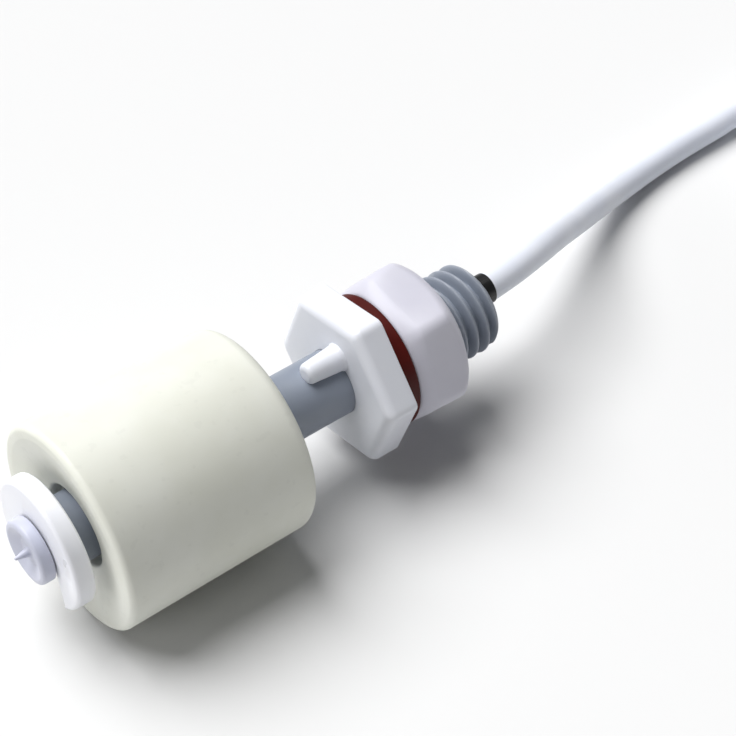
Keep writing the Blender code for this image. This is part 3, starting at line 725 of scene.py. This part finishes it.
def make_clip():
    """White C-shaped retaining clip with a rounded rim, blunt ends and an ejector mark."""
    path = clip_outline()
    low, high = CLIP_X
    turn = math.radians(CLIP_SLOT_ANGLE - 270.0)
    # the mouth's two outer corners are rounded
    corners = {0: CLIP_END_ROUNDING, CLIP_ARC_STEPS: CLIP_END_ROUNDING}
    shaped = rounded_path([(p.x, p.y, corners.get(i, 0.0)) for i, p in enumerate(path)]
                          + [(path[0].x, path[0].y)], 8)[:-1]
    n = len(shaped)
    normals = []
    for i, p in enumerate(shaped):
        tangent = shaped[(i + 1) % n] - shaped[i - 1]
        normals.append(Vector((tangent.y, -tangent.x)).normalized())
    section = rounded_path([(low, 0.9), (low, 0.0, 0.42), (high, 0.0, 0.36), (high, 0.9)], 6)[1:-1]
    bm = bmesh.new()
    rings = []
    for x, inside in section:
        ring = []
        for p, normal in zip(shaped, normals):
            q = p - normal * inside
            across = q.x * math.cos(turn) - q.y * math.sin(turn)
            up = q.x * math.sin(turn) + q.y * math.cos(turn)
            ring.append(bm.verts.new(place(x, across, AXIS_Z + up)))
        rings.append(ring)
    for a, b in zip(rings, rings[1:]):
        for j in range(n):
            k = (j + 1) % n
            bm.faces.new((a[j], a[k], b[k], b[j]))
    bm.faces.new(rings[0])
    bm.faces.new(rings[-1])
    bmesh.ops.triangulate(bm, faces=[f for f in bm.faces if len(f.verts) > 4])
    clip = new_piece("retaining_c_clip", bm, CLIP_WHITE, "stem", 40.0)
    angle = math.radians(DIMPLE_ANGLE)
    spot = (DIMPLE_DISTANCE * math.cos(angle), DIMPLE_DISTANCE * math.sin(angle))
    cut = rounded_path([(low - 0.5, 0.0), (low - 0.5, 0.8), (low, 0.6), (low + 0.07, 0.42, 0.08),
                        (low + 0.07, 0.0)], 4)
    dimple = bmesh.new()
    skin_rows(dimple, turned_rows(cut, 40, spot))
    boolean_cut(clip, dimple)
    clip.data.set_sharp_from_angle(angle=math.radians(40.0))
    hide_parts("retaining_clip")


# ---------------------------------------------------------------- float
def make_float():
    """One welded hollow float: outer skin with bore, and the hollow round the guide tube."""
    start, end = FLOAT_X
    mouth = start + FLOAT_DISH
    outer = [(mouth, FLOAT_MOUTH, 0.3), (start, FLOAT_RIM, 0.8), (start, FLOAT_RADIUS, 1.1),
             (end, FLOAT_RADIUS, 1.2), (end, FLOAT_BORE, 0.2), (mouth + 1.8, FLOAT_BORE, 0.15),
             (mouth + 1.2, FLOAT_MOUTH, 0.2), (mouth, FLOAT_MOUTH, 0.3)]
    hollow = [(start + 2.9, FLOAT_TUBE), (mouth + 1.4, FLOAT_MOUTH + 1.4), (start + 1.6, FLOAT_RIM),
              (end - 1.5, FLOAT_RIM), (end - 1.5, FLOAT_TUBE), (start + 2.9, FLOAT_TUBE)]
    bm = bmesh.new()
    skin_rows(bm, turned_rows(rounded_path(outer, 8)[:-1], 192), loop=True)
    float_piece = new_piece("welded_float", bm, CREAM, None, 30.0)
    cavity = bmesh.new()
    skin_rows(cavity, turned_rows(rounded_path(hollow, 2)[:-1], 96), loop=True)
    boolean_cut(float_piece, cavity)
    float_piece.data.set_sharp_from_angle(angle=math.radians(30.0))
    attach(float_piece, "float")
    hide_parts("float_shell", "float_lid")


# ---------------------------------------------------------------- exit sleeve
def make_exit_sleeve():
    """Black sleeve that the cable leaves the stem through."""
    low, high = EXIT_X
    inner, lip, outer = 1.28, 1.62, 1.75
    profile = [(low, inner), (low, outer, 0.1), (high, outer, 0.16), (high, lip, 0.04), (high - 0.9, lip),
               (high - 0.9, inner), (low, inner)]
    sleeve = turned("exit_grommet", profile, BLACK, "stem", 96, EXIT_OFFSET)
    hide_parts("exit_sleeve")


make_stem()
make_flange()
make_gasket()
make_nut()
make_clip()
make_float()
make_exit_sleeve()

for node, mat in (("float_magnet", FERRITE), ("reed_glass", GLASS), ("reed_blade_far", REED_METAL),
                  ("reed_blade_near", REED_METAL), ("joint_sleeve_far", BLACK), ("joint_sleeve_near", BLACK),
                  ("core_near", CORE_RED), ("core_far", CORE_BLACK), ("potting_plug", POTTING)):
    for material_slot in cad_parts[node].material_slots:
        material_slot.material = mat


# ---------------------------------------------------------------- stage and light
def make_floor():
    """Plain pale surface."""
    bm = bmesh.new()
    bmesh.ops.create_grid(bm, x_segments=1, y_segments=1, size=3.0)
    mesh = bpy.data.meshes.new("floor")
    bm.to_mesh(mesh)
    bm.free()
    floor = bpy.data.objects.new("floor", mesh)
    bpy.context.scene.collection.objects.link(floor)
    mat = bpy.data.materials.new("floor")
    mat.use_nodes = True
    bsdf = mat.node_tree.nodes["Principled BSDF"]
    bsdf.inputs["Base Color"].default_value = (0.76, 0.76, 0.76, 1.0)
    bsdf.inputs["Roughness"].default_value = 0.9
    mesh.materials.append(mat)


def area_light(name, location, target, size, power):
    """A rectangular lamp aimed at a point."""
    data = bpy.data.lights.new(name, "AREA")
    data.shape = "RECTANGLE"
    data.size, data.size_y = size
    data.energy = power
    light = bpy.data.objects.new(name, data)
    bpy.context.scene.collection.objects.link(light)
    light.location = location
    light.rotation_euler = (Vector(target) - Vector(location)).to_track_quat("-Z", "Y").to_euler()


def sun_light(name, direction, strength, softness):
    """A wide, even light from far away; direction points from the object to the light."""
    data = bpy.data.lights.new(name, "SUN")
    data.energy = strength
    data.angle = math.radians(softness)
    light = bpy.data.objects.new(name, data)
    bpy.context.scene.collection.objects.link(light)
    light.rotation_euler = (-Vector(direction)).to_track_quat("-Z", "Y").to_euler()


def make_world(strength):
    """Faint, even light from all round."""
    world = bpy.data.worlds.new("studio")
    world.use_nodes = True
    background = world.node_tree.nodes["Background"]
    background.inputs["Color"].default_value = (0.96, 0.98, 1.0, 1.0)
    background.inputs["Strength"].default_value = strength
    bpy.context.scene.world = world


make_floor()
make_world(0.1)
sun_light("key_light", (-0.2, 0.42, 0.88), 4.0, 50.0)
area_light("fill_light", (-0.7, 0.12, 0.25), (0.0, 0.0, 0.01), (0.5, 0.4), 0.9)
bpy.context.scene.view_settings.view_transform = "Standard"
